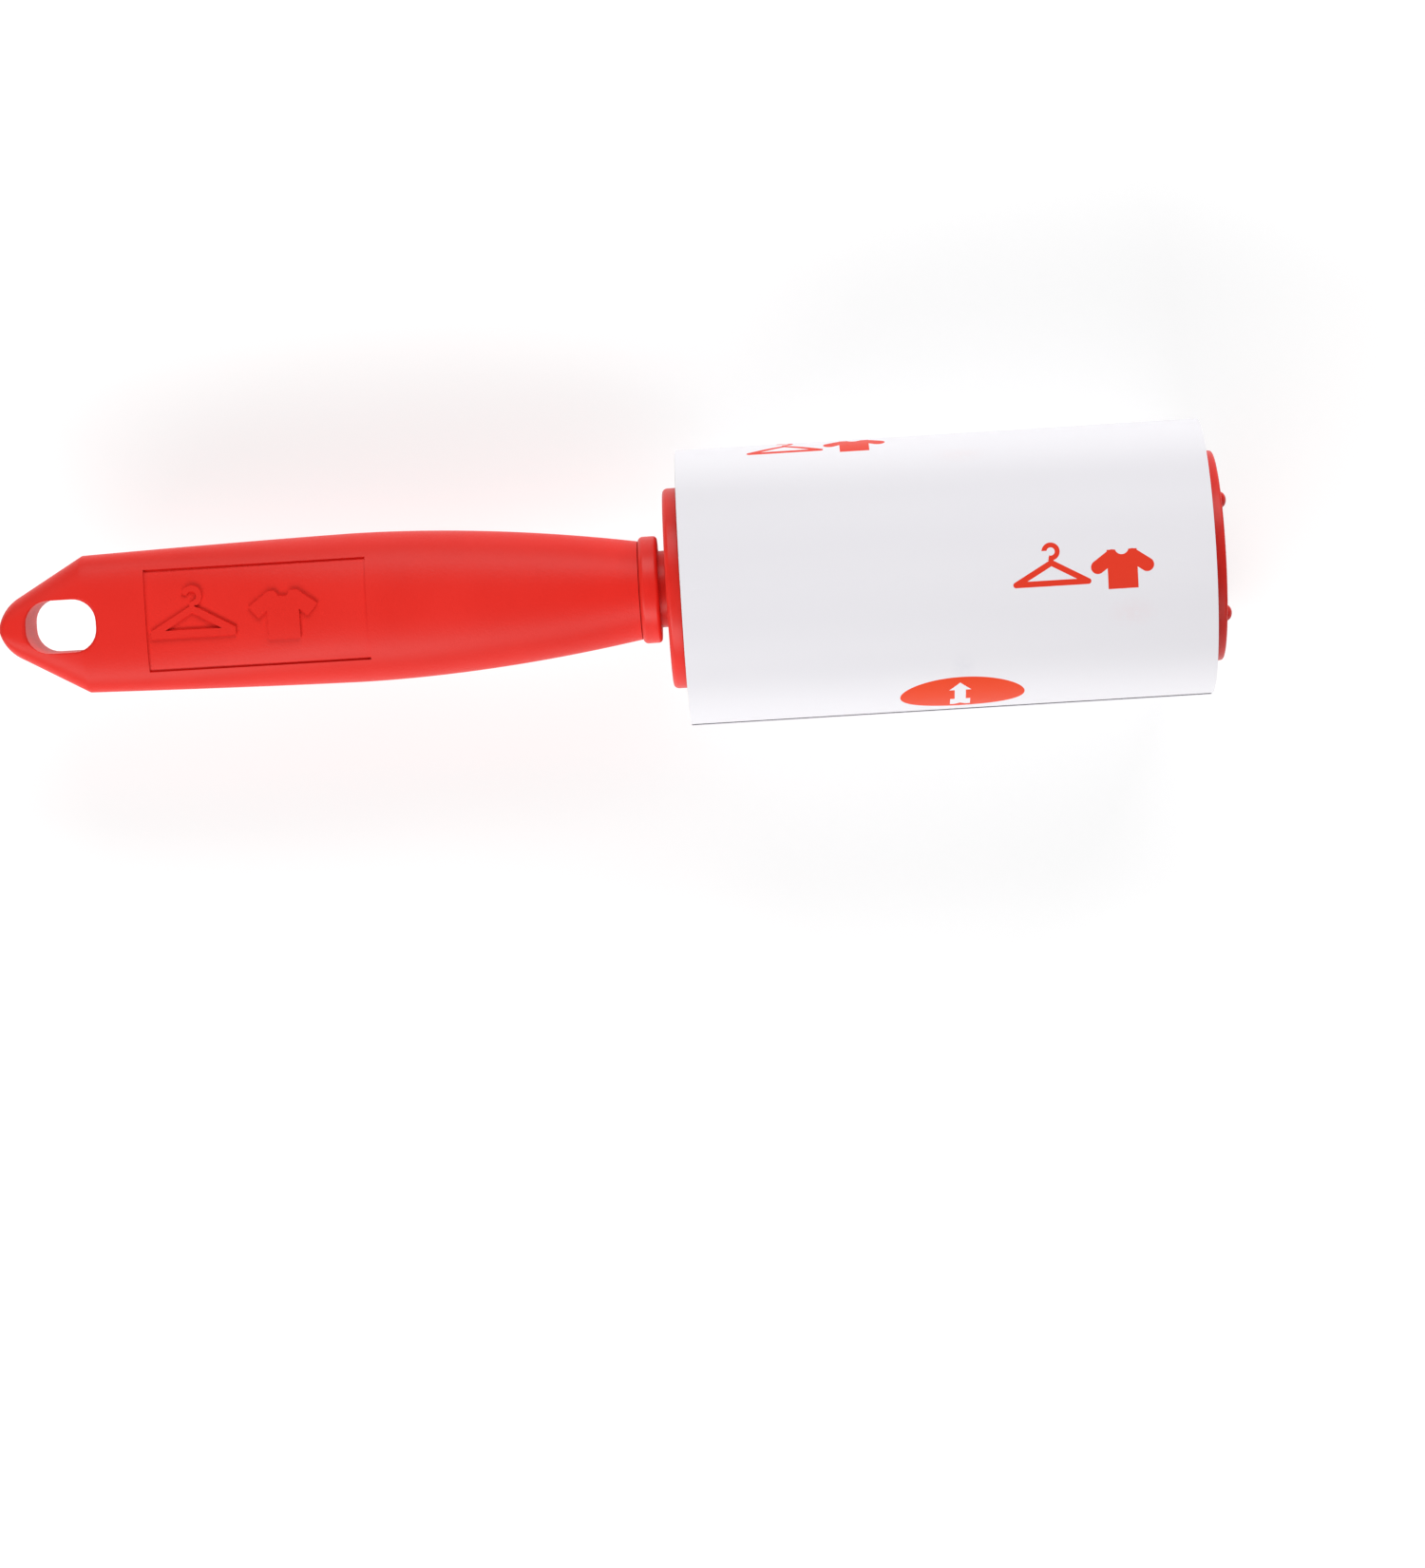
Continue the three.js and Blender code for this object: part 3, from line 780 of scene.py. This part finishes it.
def relief_shapes():
    """Raised hanger and shirt of the sunk panel, each with its offset along the panel."""
    shoulders = stroke([(-6.2, -2.4), (0.0, 1.2), (6.2, -2.4)], 0.55)
    bottom = stroke([(-6.4, -2.45), (6.4, -2.45)], 0.55)
    hook = stroke([(0.0, 0.8), (0.0, 1.9)] + [
        (1.15 * math.sin(angle), 3.05 - 1.15 * math.cos(angle)) for angle in evenly(0.5, 4.4, 12)], 0.42)
    shirt = [(-2.4, -4.0), (2.4, -4.0), (2.4, 0.3), (3.7, -0.8), (5.2, 0.9), (2.2, 3.1), (1.15, 3.1),
             (0.6, 2.3), (-0.6, 2.3), (-1.15, 3.1), (-2.2, 3.1), (-5.2, 0.9), (-3.7, -0.8), (-2.4, 0.3)]
    return [(RELIEF_HANGER_AT, shoulders), (RELIEF_HANGER_AT, bottom), (RELIEF_HANGER_AT, hook),
            (RELIEF_SHIRT_AT, shirt)]


def relief_bodies():
    """Upright prisms that keep the raised shapes out of the panel's cut."""
    bodies = []
    for offset, outline in relief_shapes():
        placed = [(RELIEF_AT[0] + offset + x * RELIEF_SCALE, RELIEF_AT[1] + y * RELIEF_SCALE)
                  for x, y in outline]
        bodies.append(prism("relief", placed, 0.0, GRIP_HALF_THICKNESS + 2 * PAST))
    return bodies


def upper_half():
    """Upper half shell with its screw posts and its sunk panel."""
    half = grip_half("grip_upper_half", 1)
    for x in SCREWS_AT.values():
        carve(half, [screw_post(x, 1)], "UNION")
        carve(half, [upright_rod("pilot", x, -1.0, PILOT_TOP, PILOT_RADIUS)])
    slab = carve(panel_cutter(), relief_bodies())
    return carve(half, [slab])


def lower_half():
    """Lower half shell with its screw posts, shank holes and wells."""
    half = grip_half("grip_lower_half", -1)
    for x in SCREWS_AT.values():
        carve(half, [screw_post(x, -1)], "UNION")
        carve(half, [upright_rod("shank_hole", x, WELL_FOOT, 1.0, SHANK_HOLE_RADIUS), counterbore(x)])
    return half


def upright_rod(name, x, low, high, radius):
    return turned(name, [(low, 0.0), (low, radius), (high, radius), (high, 0.0)], 32, standing(x))


def screw_post(x, side):
    """Boss between the seam plane and the inside of the skin."""
    reach = half_thickness(x) - 0.9
    low, high = sorted((side * SEAM_GAP / 2, side * reach))
    return upright_rod("screw_post", x, low, high, POST_RADIUS)


def counterbore(x):
    """Screw head's well, with a flared mouth at the skin."""
    skin = -half_thickness(x)
    outline = [(WELL_FOOT, 0.0), (WELL_FOOT, 5.2), (skin - 0.45, 3.6), (skin + 0.25, WELL_RADIUS),
               (SCREW_SEAT, WELL_RADIUS), (SCREW_SEAT, 0.0)]
    return turned("counterbore", outline, 48, standing(x))


def cross_cutters(levels, half_wide, place):
    """Two crossed arms that cut a screw's recess, tapered over their (along, half length) levels."""
    arms = []
    for turn in (0.0, math.pi / 2):
        rings = []
        for along, half_long in levels:
            ring = []
            for u, v in ((1, 1), (-1, 1), (-1, -1), (1, -1)):
                long, wide = u * half_long, v * half_wide
                ring.append(place(along, long * math.cos(turn) - wide * math.sin(turn),
                                  long * math.sin(turn) + wide * math.cos(turn)))
            rings.append(ring)
        arms.append(lofted("cross", rings))
    return arms


def rolled_thread(start, turns, pitch, root_radius, crest_radius, crest_end):
    """(along, radius) points of a rolled thread, drawn as even rings."""
    points = []
    for turn in range(turns):
        foot = start + turn * pitch
        points += [(foot, root_radius), (foot + 0.3, crest_radius), (foot + crest_end, crest_radius)]
    return points


def grip_screw(name, x):
    """Pan head screw that stands head down in its well."""
    seat = SCREW_SEAT - GAP
    top = seat - 1.8
    head = filleted([(top, 0.0, 0.0), (top, 2.2, 0.5), (seat - 0.9, 2.65, 0.5), (seat, 2.7, 0.12),
                     (seat, 1.25, 0.0)])
    thread = rolled_thread(seat + 0.4, 9, 0.72, 1.0, 1.32, 0.42)
    tip = [(seat + 6.9, 0.95), (seat + 7.0, 0.0)]
    screw = turned(name, head + thread + tip, 40, standing(x))
    return carve(screw, cross_cutters([(top - 0.4, 1.875), (top + 1.1, 0.75)], 0.28, standing(x)))


# ---------------------------------------------------------------- stem, ferrule and axle

AXLE_RADIUS = 3.0
AXLE_START, AXLE_END = -36.0, 80.0
DISC_RADIUS, DISC_THICKNESS = 19.2, 2.6
NECK_RADIUS = 7.35
TANG_RADIUS, TANG_END = 5.2, -42.0
FERRULE_RADIUS, FERRULE_LENGTH = 10.25, 3.5
COLLAR_START, COLLAR_END, COLLAR_RADIUS = -34.0, -31.0, 7.0
DISC_FACE = -0.08
RECESS_INNER, RECESS_OUTER, RECESS_DEPTH = 8.3, DISC_RADIUS - 2.2, 0.25
TAP_RADIUS, TAP_DEPTH = 1.5, 11.0
GROOVE_START, GROOVE_END, GROOVE_DEPTH = -22.0, -20.0, 0.15
BORE_RADIUS = AXLE_RADIUS + GAP
WASHER_THICKNESS, WASHER_RADIUS = 1.0, 7.2
END_WASHER_START, END_WASHER_END, END_WASHER_RADIUS = AXLE_END + 0.1, AXLE_END + 0.9, 7.0


def thrust_stem():
    """Tang, collar, neck and thrust disc in one moulding, bored for the axle."""
    back, ferrule_back = -GAP - DISC_THICKNESS, GRIP_FRONT + GAP
    socket, socket_end = AXLE_RADIUS + 0.1, AXLE_START - GAP
    tang = [(TANG_END, 0.0, 0.0), (TANG_END, TANG_RADIUS, 0.8), (COLLAR_START, TANG_RADIUS, 0.3),
            (COLLAR_START, COLLAR_RADIUS, 0.4), (COLLAR_END, COLLAR_RADIUS, 0.4),
            (COLLAR_END, TANG_RADIUS, 0.3), (ferrule_back, TANG_RADIUS, 0.2)]
    neck = [(ferrule_back, NECK_RADIUS, 0.3), (back, NECK_RADIUS, 0.4)]
    recess = DISC_FACE - RECESS_DEPTH
    disc = [(back, DISC_RADIUS, 0.95), (DISC_FACE, DISC_RADIUS, 0.3), (DISC_FACE, RECESS_OUTER, 0.0),
            (recess, RECESS_OUTER - 0.3, 0.0), (recess, RECESS_INNER + 0.3, 0.0),
            (DISC_FACE, RECESS_INNER, 0.0)]
    bore = [(DISC_FACE, socket, 0.2), (socket_end, socket, 0.0), (socket_end, 0.0, 0.0)]
    return turned("thrust_stem", filleted(tang + neck + disc + bore), 144)


def grip_ferrule():
    """Round-edged bead around the neck, just clear of the grip's front."""
    start, end = GRIP_FRONT + 0.1, GRIP_FRONT + GAP + FERRULE_LENGTH
    bore = NECK_RADIUS + GAP
    corners = [(start, bore, 0.2), (start, FERRULE_RADIUS, 1.0), (end, FERRULE_RADIUS, 0.75),
               (end, bore, 0.2)]
    return turned("grip_ferrule", filleted(corners, 8), 144)


def steel_axle():
    """Axle with rounded ends, a shallow groove inside the stem and a tapped far end."""
    groove = AXLE_RADIUS - GROOVE_DEPTH
    rod = [(AXLE_START, 0.0, 0.0), (AXLE_START, AXLE_RADIUS, 0.5), (GROOVE_START, AXLE_RADIUS, 0.0),
           (GROOVE_START, groove, 0.0), (GROOVE_END, groove, 0.0), (GROOVE_END, AXLE_RADIUS, 0.0),
           (AXLE_END, AXLE_RADIUS, 0.5)]
    tap_end = AXLE_END - TAP_DEPTH
    tap = [(AXLE_END, TAP_RADIUS + 0.4, 0.0), (AXLE_END - 0.4, TAP_RADIUS, 0.0),
           (tap_end, TAP_RADIUS, 0.0), (tap_end - 0.6, 0.0, 0.0)]
    return turned("steel_axle", filleted(rod + tap), 64)


def ring(name, start, end, inner, outer, fillet):
    corners = [(start, inner, fillet), (start, outer, fillet), (end, outer, fillet), (end, inner, fillet)]
    return turned(name, filleted(corners))


def axle_end_screw():
    """Round head screw in the axle's tapped end."""
    seat = END_WASHER_END + GAP
    top = seat + 1.9
    head = filleted([(seat, 1.3, 0.0), (seat, 4.2, 0.15), (top, 4.0, 1.2), (top, 0.0, 0.0)])
    tip = [(AXLE_END - 9.0, 0.0), (AXLE_END - 8.9, 1.0)]
    thread = rolled_thread(AXLE_END - 8.5, 12, 0.7, 1.05, 1.35, 0.4)
    screw = turned("axle_end_screw", tip + thread + head, 48)
    return carve(screw, cross_cutters([(top + 0.4, 2.3), (top - 1.3, 1.0)], 0.36, lengthwise))


# ---------------------------------------------------------------- spool and bushes

SPOOL_RADIUS, SPOOL_WALL, SPOOL_END = 17.3, 1.6, 98.0
SPOOL_WEBS = (3.0, 76.0)
WEB_THICKNESS = 2.0
HUB_RADIUS, HUB_LENGTH = 8.0, 8.0
BUSH_RADIUS, FLANGE_RADIUS = 5.2, 7.4
FLANGE_THICKNESS, SLEEVE_LENGTH = 1.0, 7.8
RIBS = 6
RIB_START, RIB_END, RIB_HALF_WIDTH = 4.0, 96.0, 1.2
WINDOW = {"at": 40.0, "length": 52.0, "width": 9.0, "corner": 1.5}


def refill_spool():
    """Thin drum on two hubbed webs, with bowed ribs that hold the core."""
    inner = SPOOL_RADIUS - SPOOL_WALL
    bore = BUSH_RADIUS + GAP
    near, far = SPOOL_WEBS[0], SPOOL_WEBS[1] + WEB_THICKNESS
    corners = [
        (GAP, inner, 0.3), (GAP, SPOOL_RADIUS, 0.4), (SPOOL_END, SPOOL_RADIUS, 0.4), (SPOOL_END, inner, 0.3),
        (far, inner, 0.5), (far, bore, 0.2), (far - HUB_LENGTH, bore, 0.2),
        (far - HUB_LENGTH, HUB_RADIUS, 0.4), (far - WEB_THICKNESS, HUB_RADIUS, 0.5),
        (far - WEB_THICKNESS, inner, 0.5), (near + WEB_THICKNESS, inner, 0.5),
        (near + WEB_THICKNESS, HUB_RADIUS, 0.5), (near + HUB_LENGTH, HUB_RADIUS, 0.4),
        (near + HUB_LENGTH, bore, 0.2), (near, bore, 0.2), (near, inner, 0.5)]
    drum = turned("refill_spool", filleted(corners, 3), 144)
    for rib in range(RIBS):
        carve(drum, [rolled(spring_rib(), rib / RIBS * math.tau)], "UNION")
        carve(drum, [rolled(window_cutter(), (rib + 0.5) / RIBS * math.tau)])
    return drum


def spring_rib():
    """Bowed rib with a rounded crest, standing on the drum."""
    rings = []
    foot = SPOOL_RADIUS - 0.5
    shoulder = RIB_HALF_WIDTH - 0.3
    for x in evenly(RIB_START, RIB_END, 36):
        share = (x - RIB_START) / (RIB_END - RIB_START)
        bow = math.sin(math.pi * min(share * 0.62 + 0.12, 1.0))
        crest = SPOOL_RADIUS + 0.2 + bow * smoothstep(x, RIB_END + 0.2, RIB_END - 8.0)
        rings.append([(x, -RIB_HALF_WIDTH, foot), (x, -RIB_HALF_WIDTH, crest - 0.3),
                      (x, -shoulder, crest - 0.06), (x, 0.0, crest), (x, shoulder, crest - 0.06),
                      (x, RIB_HALF_WIDTH, crest - 0.3), (x, RIB_HALF_WIDTH, foot)])
    return lofted("spring_rib", rings)


def window_cutter():
    outline = rounded_slot(WINDOW["length"], WINDOW["width"], WINDOW["corner"])
    placed = [(WINDOW["at"] + x, y) for x, y in outline]
    return prism("window", placed, SPOOL_RADIUS - 3.5, SPOOL_RADIUS + 3.0)


def bush(name, seat, outwards):
    """Bush in a hub: the flange lies outwards of its seat, and the sleeve runs inwards from there."""
    flange, sleeve_end = seat + outwards * FLANGE_THICKNESS, seat - outwards * SLEEVE_LENGTH
    corners = [(flange, BORE_RADIUS, 0.2), (flange, FLANGE_RADIUS, 0.3), (seat, FLANGE_RADIUS, 0.1),
               (seat, BUSH_RADIUS, 0.1), (sleeve_end, BUSH_RADIUS, 0.3), (sleeve_end, BORE_RADIUS, 0.2)]
    return turned(name, filleted(corners), 72)


# ---------------------------------------------------------------- refill and cap

REFILL_LENGTH = size_along("adhesive_roll")[1]
CORE_BORE, CORE_OUTER = 18.8, 20.1
PLY_STEPS = 34  # steps in each end of the wound sheets


def cardboard_core():
    corners = [(0.0, CORE_BORE, 0.25), (0.0, CORE_OUTER, 0.15),
               (REFILL_LENGTH, CORE_OUTER, 0.15), (REFILL_LENGTH, CORE_BORE, 0.25)]
    return turned("cardboard_core", filleted(corners, 3), 128)


def stepped_end(inner, outer, quick, slow):
    """(depth, radius) points over the cut plies. quick and slow are the pitch and phase of two waves."""
    points = []
    for ply in range(PLY_STEPS):
        low = inner + (outer - inner) * ply / PLY_STEPS
        high = inner + (outer - inner) * (ply + 0.8) / PLY_STEPS
        depth = 0.05 + 0.05 * math.sin(ply * quick[0] + quick[1]) + 0.04 * math.sin(ply * slow[0] + slow[1])
        points += [(depth, low), (depth, high), (depth + 0.14, high + 0.02)]
    return points + [(0.3, outer)]


def wound_sheets():
    """Wound sheets, whose plies stand a little unevenly at both ends."""
    inner, outer = CORE_OUTER + 0.05, SHEET_RADIUS - 0.3
    near = stepped_end(inner, outer, (2.4, 0.0), (0.55, 1.0))
    far = stepped_end(inner, outer, (1.9, 2.0), (0.7, 0.0))
    outline = near + [(REFILL_LENGTH - depth, radius) for depth, radius in reversed(far)]
    return turned("wound_sheets", outline, 160)


SHEET_LAYER = 0.14
SHEET_MARGIN = 0.06  # between the sheet and each end of the roll
SHEET_OVERLAP = 5.0  # degrees
SHEET_STEPS = 360
FREE_SHARE, FREE_LIFT = 0.015, 0.12  # free edge: its share of the sheet, and how far it stands up


def printed_top_sheet():
    """Outermost sheet: one turn and a little more, its free edge lying on its own start."""
    start, end = SHEET_MARGIN, REFILL_LENGTH - SHEET_MARGIN
    outer_skin, inner_skin = [], []
    for step in range(SHEET_STEPS + 1):
        share = step / SHEET_STEPS
        angle = math.radians(SHEET_FROM + (360.0 + SHEET_OVERLAP) * share)
        radius = SHEET_RADIUS - (SHEET_LAYER + 0.01) * (1.0 - share)
        lift = FREE_LIFT * max(0.0, (share - 1.0 + FREE_SHARE) / FREE_SHARE) ** 2
        outer_skin.append((radius + lift, angle))
        inner_skin.append((radius + lift - SHEET_LAYER * 0.85, angle))
    outline = outer_skin + inner_skin[::-1]
    rings = []
    for x, inset in ((start, 0.03), (start + 0.05, 0.0), (end - 0.05, 0.0), (end, 0.03)):
        rings.append([(x, (radius - inset) * math.sin(angle), (radius - inset) * math.cos(angle))
                      for radius, angle in outline])
    return lofted("printed_top_sheet", rings)


CAP_RADIUS = 20.1
CAP_EDGE, CAP_DOME = 2.0, 0.8
CROWN_RADIUS = CAP_RADIUS - 0.9
PIPS = 4
PIP_CIRCLE, PIP_RADIUS, PIP_HALF_HEIGHT = 15.1, 1.6, 1.25
PIP_STANDS = 0.14  # centre of a pip above the cap's edge
LEG_RADIUS, LEG_WALL, LEG_START = 15.2, 1.4, 88.0
SLOT_HALF_WIDTH = 3.5
BARB_RADIUS, SHANK_RADIUS = LEG_RADIUS + 0.2, LEG_RADIUS - 0.3


def click_in_cap():
    """Shallow dome with four finger pips, and four spring legs with barbs."""
    start = REFILL_LENGTH + GAP
    edge = start + CAP_EDGE
    crown = [(edge + CAP_DOME * (1.0 - (radius / CAP_RADIUS) ** 2), radius)
             for radius in evenly(CROWN_RADIUS, 0.0, 14)]
    rim = filleted([(start, 0.0, 0.0), (start, CAP_RADIUS, 0.35), (edge + 0.02, CAP_RADIUS, 0.5),
                    (edge + 0.08, CROWN_RADIUS, 0.0)])
    cap = turned("click_in_cap", rim[:-1] + crown, 144)
    inner = LEG_RADIUS - LEG_WALL
    skirt = [(start + 0.4, inner, 0.0), (LEG_START, inner, 0.3), (LEG_START, LEG_RADIUS - 0.5, 0.3),
             (LEG_START + 2.0, BARB_RADIUS, 0.3), (LEG_START + 3.4, BARB_RADIUS, 0.3),
             (LEG_START + 4.0, SHANK_RADIUS, 0.2), (start - 0.8, SHANK_RADIUS, 0.0),
             (start + 0.4, LEG_RADIUS + 0.3, 0.0)]
    legs = turned("legs", filleted(skirt))
    for quarter in range(2):
        outline = slot_outline(LEG_START - 5.0, start - 1.5, SLOT_HALF_WIDTH)
        carve(legs, [rolled(prism("leg_slot", outline, -30.0, 30.0), quarter * math.pi / 2)])
    carve(cap, [legs], "UNION")
    for pip in range(PIPS):
        carve(cap, [rolled(finger_pip(edge), (pip + 0.5) / PIPS * math.tau)], "UNION")
    return cap


def slot_outline(low, high, half):
    """Slot from low to high along x, with its two far corners rounded in two steps."""
    upper = [(high, half - 1.0), (high - 0.3, half - 0.3), (high - 1.0, half), (low, half)]
    return [(x, -y) for x, y in reversed(upper)] + upper


def finger_pip(edge):
    """Round knob, a little flattened, half sunk in the dome."""
    centre, rise = edge + PIP_STANDS, PIP_HALF_HEIGHT
    outline = [(centre - rise, 0.0)]
    for angle in evenly(math.pi * 0.06, math.pi * 0.94, 14):
        outline.append((centre - rise * math.cos(angle), PIP_RADIUS * math.sin(angle)))
    outline.append((centre + rise, 0.0))
    return turned("finger_pip", outline, 32, lambda along, side, up: (along, side, PIP_CIRCLE + up))


# ---------------------------------------------------------------- assembly

FLOOR_GLOW = 0.62
FLOOR_REACH = 6.0
FLOOR_DROP = 0.0003


def add_floor():
    """Plain pale floor, wide enough for every view."""
    mesh = bpy.data.meshes.new("floor")
    corners = [(x * FLOOR_REACH, y * FLOOR_REACH, 0.0) for x, y in ((-1, -1), (1, -1), (1, 1), (-1, 1))]
    mesh.from_pydata(corners, [], [(0, 1, 2, 3)])
    floor = bpy.data.objects.new("floor", mesh)
    bpy.context.collection.objects.link(floor)
    floor.location.z = -FLOOR_DROP
    mesh.materials.append(pale_floor())


def pale_floor():
    finish = Finish("pale_floor", emission_color=(1.0, 1.0, 1.0), emission_strength=FLOOR_GLOW,
                    specular_ior_level=0.0)
    clouds = finish.noise(0.01, detail=2.0)
    finish.feed("Base Color", finish.mix(clouds, (0.44, 0.44, 0.44), (0.45, 0.45, 0.45)))
    finish.feed("Roughness", 0.9 + 0.05 * clouds)
    return finish.material


add_camera()
add_studio()
add_floor()

grip_red = grained_red()
stem_red = smooth_red("smooth_red_plastic")
spool_red = smooth_red("spool_red_plastic")
steel = zinc_steel()
acetal = white_acetal()

keep(upper_half(), "handle", "grip_upper_shell", grip_red)
keep(lower_half(), "handle", "grip_lower_shell", grip_red)
for end, screw_x in SCREWS_AT.items():
    keep(grip_screw(f"{end}_grip_screw", screw_x), "handle", f"grip_screw_{end}", steel)
keep(grip_ferrule(), "handle", "ferrule", stem_red)
keep(thrust_stem(), "handle", "stem", stem_red)
keep(steel_axle(), "handle", "axle_rod", steel)
disc_washer = ring("stem_thrust_washer", GAP, GAP + WASHER_THICKNESS, AXLE_RADIUS + 0.1, WASHER_RADIUS, 0.15)
keep(disc_washer, "handle", "thrust_washer", acetal)
end_washer = ring("axle_end_washer", END_WASHER_START, END_WASHER_END, 1.6, END_WASHER_RADIUS, 0.1)
keep(end_washer, "handle", "axle_washer", steel)
keep(axle_end_screw(), "handle", "axle_screw", steel)
keep(refill_spool(), "spool", "spool_drum", spool_red)
near_seat, far_seat = SPOOL_WEBS[0] - GAP, SPOOL_WEBS[1] + WEB_THICKNESS + GAP
keep(bush("stem_side_bush", near_seat, -1), "spool", "handle_side_bush", acetal)
keep(bush("screw_side_bush", far_seat, 1), "spool", "cap_side_bush", acetal)
keep(cardboard_core(), "refill", "core_tube", wound_board())
keep(wound_sheets(), "refill", "adhesive_roll", wound_edges())
keep(printed_top_sheet(), "refill", "top_sheet", printed_sheet())
keep(click_in_cap(), "end_cap", "end_cap", smooth_red("cap_red_plastic"))
